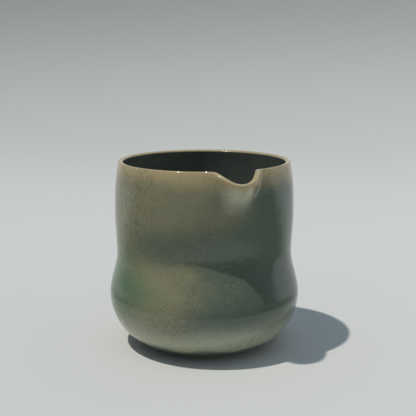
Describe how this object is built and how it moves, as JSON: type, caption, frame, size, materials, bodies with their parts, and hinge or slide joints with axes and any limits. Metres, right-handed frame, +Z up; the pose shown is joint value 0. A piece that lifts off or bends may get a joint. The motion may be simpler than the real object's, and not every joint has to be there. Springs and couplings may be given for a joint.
{
  "type": "ceramic pitcher",
  "caption": "Small handle-less stoneware pitcher with a pressed waist, a pulled pouring spout, a turned foot ring and crackled celadon glaze.",
  "frame": {"origin": "centre of the foot ring, on the throwing axis, on the plane that the pitcher stands on", "axes": "+Z up along the throwing axis, -Y towards the spout, +X to the right as seen from in front of the spout"},
  "size_m": [0.1142, 0.1214, 0.1116],
  "materials": {
    "fired_clay": "fired buff stoneware, unglazed",
    "bare_foot": "bare stoneware, wiped clean and toasted by the kiln",
    "celadon_outside": "glossy celadon glaze with a fine crackle",
    "celadon_inside": "glossy dark celadon glaze with a fine crackle",
    "lip_glaze": "thin glaze that breaks to tan over the lip"
  },
  "bodies": {
    "root": {"clay_body": "fired_clay", "foot_ring": "bare_foot", "outer_glaze": "celadon_outside", "liner_glaze": "celadon_inside", "rim_glaze": "lip_glaze"}
  },
  "joints": []
}
